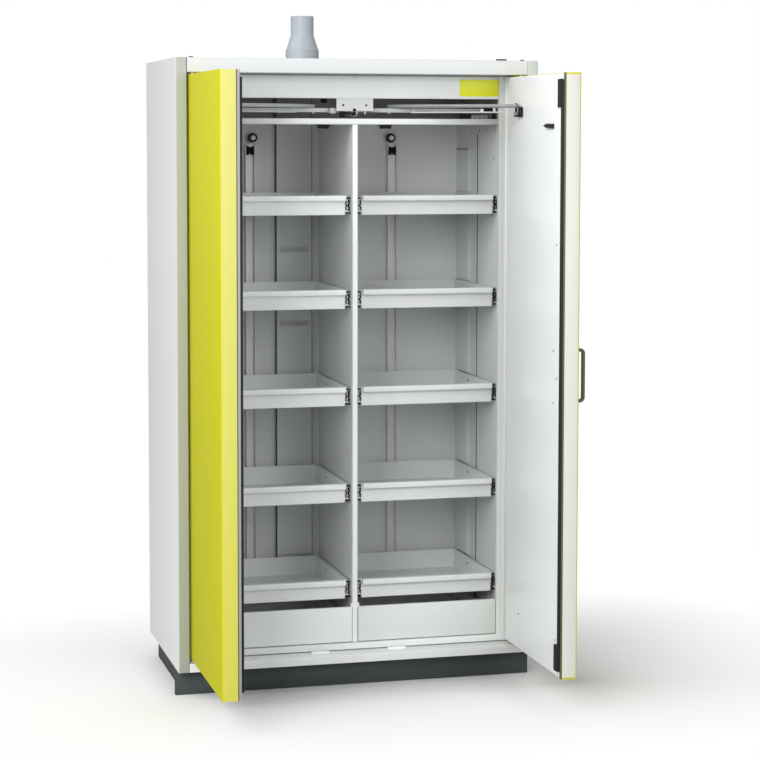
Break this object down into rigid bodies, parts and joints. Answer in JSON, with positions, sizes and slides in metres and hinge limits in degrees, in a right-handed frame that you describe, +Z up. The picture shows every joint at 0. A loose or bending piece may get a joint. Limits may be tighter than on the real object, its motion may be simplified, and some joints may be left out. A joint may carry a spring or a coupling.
{
  "type": "fireproof safety cabinet",
  "caption": "Tall insulated safety cabinet on a plinth: hinged yellow leaves held open, pull-out trays and base drawers on both sides of a partition, exhaust socket on the roof.",
  "frame": {"origin": "on the floor under the middle of the body, on the underside of the plinth's middle board", "axes": "+Z up, +X to the right as seen from the front, the doors face -Y"},
  "size_m": [1.197, 1.1425, 2.2068],
  "materials": {
    "casing_lacquer": "pale grey powder coat, satin",
    "door_lacquer": "yellow powder coat, satin",
    "white_lacquer": "white powder coat, satin",
    "interior_lacquer": "light grey coat, satin",
    "tray_lacquer": "pale grey powder coat, satin",
    "plinth_board": "anthracite coated board, matt",
    "insulation_board": "mineral board, matt",
    "zinc_steel": "zinc plated",
    "socket_plastic": "light grey moulding",
    "black_plastic": "black moulding",
    "grey_plastic": "grey extrusion",
    "black_seal": "matt black",
    "handle_plastic": "dark grey, satin"
  },
  "bodies": {
    "root": {"side_casing_left": "casing_lacquer", "side_casing_right": "casing_lacquer", "rear_casing": "casing_lacquer", "roof_casing": "casing_lacquer", "base_plate": "casing_lacquer", "top_fascia": "casing_lacquer", "bottom_rail": "casing_lacquer", "front_frame": "casing_lacquer", "plinth": "plinth_board", "insulation_left": "insulation_board", "insulation_right": "insulation_board", "insulation_rear": "insulation_board", "insulation_roof": "insulation_board", "insulation_floor": "insulation_board", "side_lining_left": "interior_lacquer", "side_lining_right": "interior_lacquer", "rear_lining": "interior_lacquer", "roof_lining": "interior_lacquer", "floor_lining": "interior_lacquer", "header_panel": "interior_lacquer", "exhaust_duct": "interior_lacquer", "centre_partition": "white_lacquer", "cross_rail": "white_lacquer", "closer_bracket": "white_lacquer", "guide_rail": "zinc_steel", "rear_channel_left": "zinc_steel", "rear_channel_right": "zinc_steel", "duct_reducer": "socket_plastic"},
    "left_door": {"left_door_core": "insulation_board", "left_door_lining": "white_lacquer", "left_door_hinge_rod": "zinc_steel", "left_door_catch_hook": "black_plastic", "left_door_arm_bracket": "black_plastic", "left_door_skin": "door_lacquer", "left_door_edge_strip": "grey_plastic", "left_door_seal": "black_seal"},
    "left_arm": {"closing_arm_left": "zinc_steel"},
    "left_pulley": {"pulley_left": "black_plastic"},
    "right_door": {"right_door_core": "insulation_board", "right_door_lining": "white_lacquer", "right_door_hinge_rod": "zinc_steel", "right_door_catch_hook": "black_plastic", "right_door_arm_bracket": "black_plastic", "right_door_skin": "door_lacquer", "right_door_seal": "black_seal", "right_door_handle": "handle_plastic"},
    "right_arm": {"closing_arm_right": "zinc_steel"},
    "right_pulley": {"pulley_right": "black_plastic"},
    "left_tray_1": {"tray_left_1": "tray_lacquer"},
    "left_tray_2": {"tray_left_2": "tray_lacquer"},
    "left_tray_3": {"tray_left_3": "tray_lacquer"},
    "left_tray_4": {"tray_left_4": "tray_lacquer"},
    "left_tray_5": {"tray_left_5": "tray_lacquer"},
    "left_base_drawer": {"base_drawer_left": "tray_lacquer"},
    "right_tray_1": {"tray_right_1": "tray_lacquer"},
    "right_tray_2": {"tray_right_2": "tray_lacquer"},
    "right_tray_3": {"tray_right_3": "tray_lacquer"},
    "right_tray_4": {"tray_right_4": "tray_lacquer"},
    "right_tray_5": {"tray_right_5": "tray_lacquer"},
    "right_base_drawer": {"base_drawer_right": "tray_lacquer"}
  },
  "joints": [
    {"name": "left_door_hinge", "type": "hinge", "parent": "root", "child": "left_door", "pos_m": [-0.544, -0.294, 0], "axis": [0, 0, -1], "range_deg": [-90, 0]},
    {"name": "left_arm_fold", "type": "hinge", "parent": "left_door", "child": "left_arm", "pos_m": [-0.492, -0.402, 1.9], "axis": [0, 0, -1], "range_deg": [0, 113]},
    {"name": "left_pulley_spin", "type": "hinge", "parent": "root", "child": "left_pulley", "pos_m": [-0.245, 0.2361, 1.798], "axis": [0, -1, 0], "range_deg": [-180, 0]},
    {"name": "right_door_hinge", "type": "hinge", "parent": "root", "child": "right_door", "pos_m": [0.544, -0.294, 0], "axis": [0, 0, 1], "range_deg": [-90, 0]},
    {"name": "right_arm_fold", "type": "hinge", "parent": "right_door", "child": "right_arm", "pos_m": [0.492, -0.402, 1.9], "axis": [0, 0, 1], "range_deg": [0, 113]},
    {"name": "right_pulley_spin", "type": "hinge", "parent": "root", "child": "right_pulley", "pos_m": [0.245, 0.2361, 1.798], "axis": [0, 1, 0], "range_deg": [-180, 0]},
    {"name": "left_tray_1_slide", "type": "slide", "parent": "root", "child": "left_tray_1", "axis": [0, -1, 0], "range_m": [0, 0.33]},
    {"name": "left_tray_2_slide", "type": "slide", "parent": "root", "child": "left_tray_2", "axis": [0, -1, 0], "range_m": [0, 0.33]},
    {"name": "left_tray_3_slide", "type": "slide", "parent": "root", "child": "left_tray_3", "axis": [0, -1, 0], "range_m": [0, 0.33]},
    {"name": "left_tray_4_slide", "type": "slide", "parent": "root", "child": "left_tray_4", "axis": [0, -1, 0], "range_m": [0, 0.33]},
    {"name": "left_tray_5_slide", "type": "slide", "parent": "root", "child": "left_tray_5", "axis": [0, -1, 0], "range_m": [0, 0.33]},
    {"name": "left_base_drawer_slide", "type": "slide", "parent": "root", "child": "left_base_drawer", "axis": [0, -1, 0], "range_m": [0, 0.33]},
    {"name": "right_tray_1_slide", "type": "slide", "parent": "root", "child": "right_tray_1", "axis": [0, -1, 0], "range_m": [0, 0.33]},
    {"name": "right_tray_2_slide", "type": "slide", "parent": "root", "child": "right_tray_2", "axis": [0, -1, 0], "range_m": [0, 0.33]},
    {"name": "right_tray_3_slide", "type": "slide", "parent": "root", "child": "right_tray_3", "axis": [0, -1, 0], "range_m": [0, 0.33]},
    {"name": "right_tray_4_slide", "type": "slide", "parent": "root", "child": "right_tray_4", "axis": [0, -1, 0], "range_m": [0, 0.33]},
    {"name": "right_tray_5_slide", "type": "slide", "parent": "root", "child": "right_tray_5", "axis": [0, -1, 0], "range_m": [0, 0.33]},
    {"name": "right_base_drawer_slide", "type": "slide", "parent": "root", "child": "right_base_drawer", "axis": [0, -1, 0], "range_m": [0, 0.33]}
  ],
  "couplings": [
    {"joint": "left_arm_fold", "follows": "left_door_hinge", "ratio": -1.255},
    {"joint": "left_pulley_spin", "follows": "left_door_hinge", "ratio": 2},
    {"joint": "right_arm_fold", "follows": "right_door_hinge", "ratio": -1.255},
    {"joint": "right_pulley_spin", "follows": "right_door_hinge", "ratio": 2}
  ]
}
